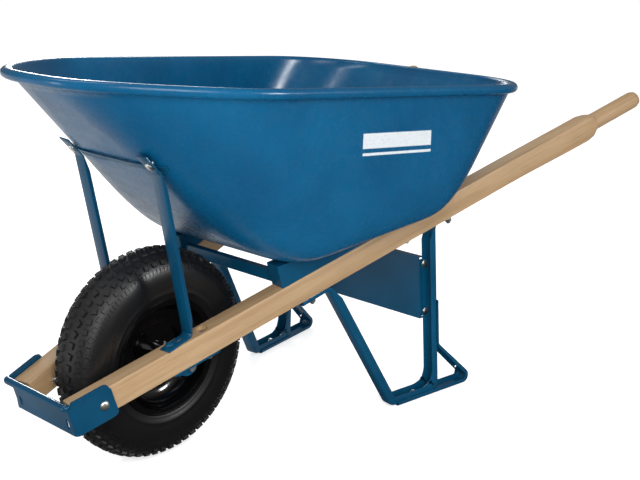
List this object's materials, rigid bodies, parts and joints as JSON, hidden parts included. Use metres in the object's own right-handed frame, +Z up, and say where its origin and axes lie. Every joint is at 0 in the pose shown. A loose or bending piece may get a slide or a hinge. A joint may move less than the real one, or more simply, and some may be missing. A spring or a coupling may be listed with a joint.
{
  "type": "wheelbarrow",
  "caption": "Single-wheel barrow with a deep pressed steel tray, wooden handles, braced channel legs and a nose guard round the handle ends.",
  "frame": {"origin": "on the ground, under the middle of the whole barrow's box", "axes": "+X from the wheel towards the grips, +Y across the barrow towards the side named right, +Z up"},
  "size_m": [1.4528, 0.6862, 0.7499],
  "materials": {
    "blue_enamel": "glossy blue enamel",
    "dark_blue_enamel": "semi-gloss blue enamel",
    "ash": "clear-coated ash",
    "tyre_rubber": "moulded black rubber",
    "tube_rubber": "smooth black rubber",
    "black_enamel": "glossy black enamel",
    "zinc": "bright zinc plate",
    "nylon": "black nylon"
  },
  "bodies": {
    "frame": {"axle": "zinc", "axle_bracket_bolt_left": "zinc", "axle_bracket_bolt_right": "zinc", "axle_bracket_left": "dark_blue_enamel", "axle_bracket_right": "dark_blue_enamel", "axle_sleeve_left": "zinc", "axle_sleeve_right": "zinc", "brace_foot_bolt_left": "zinc", "brace_foot_bolt_right": "zinc", "brace_head_bolt_left": "zinc", "brace_head_bolt_right": "zinc", "brace_strap": "dark_blue_enamel", "cotter_pin_left": "zinc", "cotter_pin_right": "zinc", "cross_plate": "dark_blue_enamel", "cross_plate_bolt_lower_left": "zinc", "cross_plate_bolt_lower_right": "zinc", "cross_plate_bolt_upper_left": "zinc", "cross_plate_bolt_upper_right": "zinc", "guard_bolt_left": "zinc", "guard_bolt_right": "zinc", "guard_nut_left": "zinc", "guard_nut_right": "zinc", "handle_left": "ash", "handle_right": "ash", "leg_bolt_rear_left": "zinc", "leg_bolt_rear_right": "zinc", "leg_foot_bolt_left": "zinc", "leg_foot_bolt_right": "zinc", "leg_left": "blue_enamel", "leg_right": "blue_enamel", "leg_stabilizer_left": "dark_blue_enamel", "leg_stabilizer_right": "dark_blue_enamel", "nose_guard": "dark_blue_enamel", "riser_left": "dark_blue_enamel", "riser_right": "dark_blue_enamel", "riser_tie": "dark_blue_enamel", "tray": "blue_enamel", "tray_bolt_front_left": "zinc", "tray_bolt_front_right": "zinc", "tray_bolt_rear_left": "zinc", "tray_bolt_rear_right": "zinc", "tray_brace_left": "dark_blue_enamel", "tray_brace_right": "dark_blue_enamel", "tray_nut_front_left": "zinc", "tray_nut_front_right": "zinc", "tray_nut_rear_left": "zinc", "tray_nut_rear_right": "zinc"},
    "wheel": {"tyre": "tyre_rubber", "inner_tube": "tube_rubber", "rim_left": "black_enamel", "rim_right": "black_enamel", "hub": "black_enamel", "grease_fitting": "zinc", "valve_stem": "tube_rubber", "valve_cap": "nylon", "bearing_left": "nylon", "bearing_right": "nylon", "bearing_seal_left": "nylon", "bearing_seal_right": "nylon"}
  },
  "joints": [
    {"name": "wheel_spin", "type": "hinge", "parent": "frame", "child": "wheel", "pos_m": [-0.4709, 0, 0.202], "axis": [0, 1, 0], "continuous": true}
  ]
}
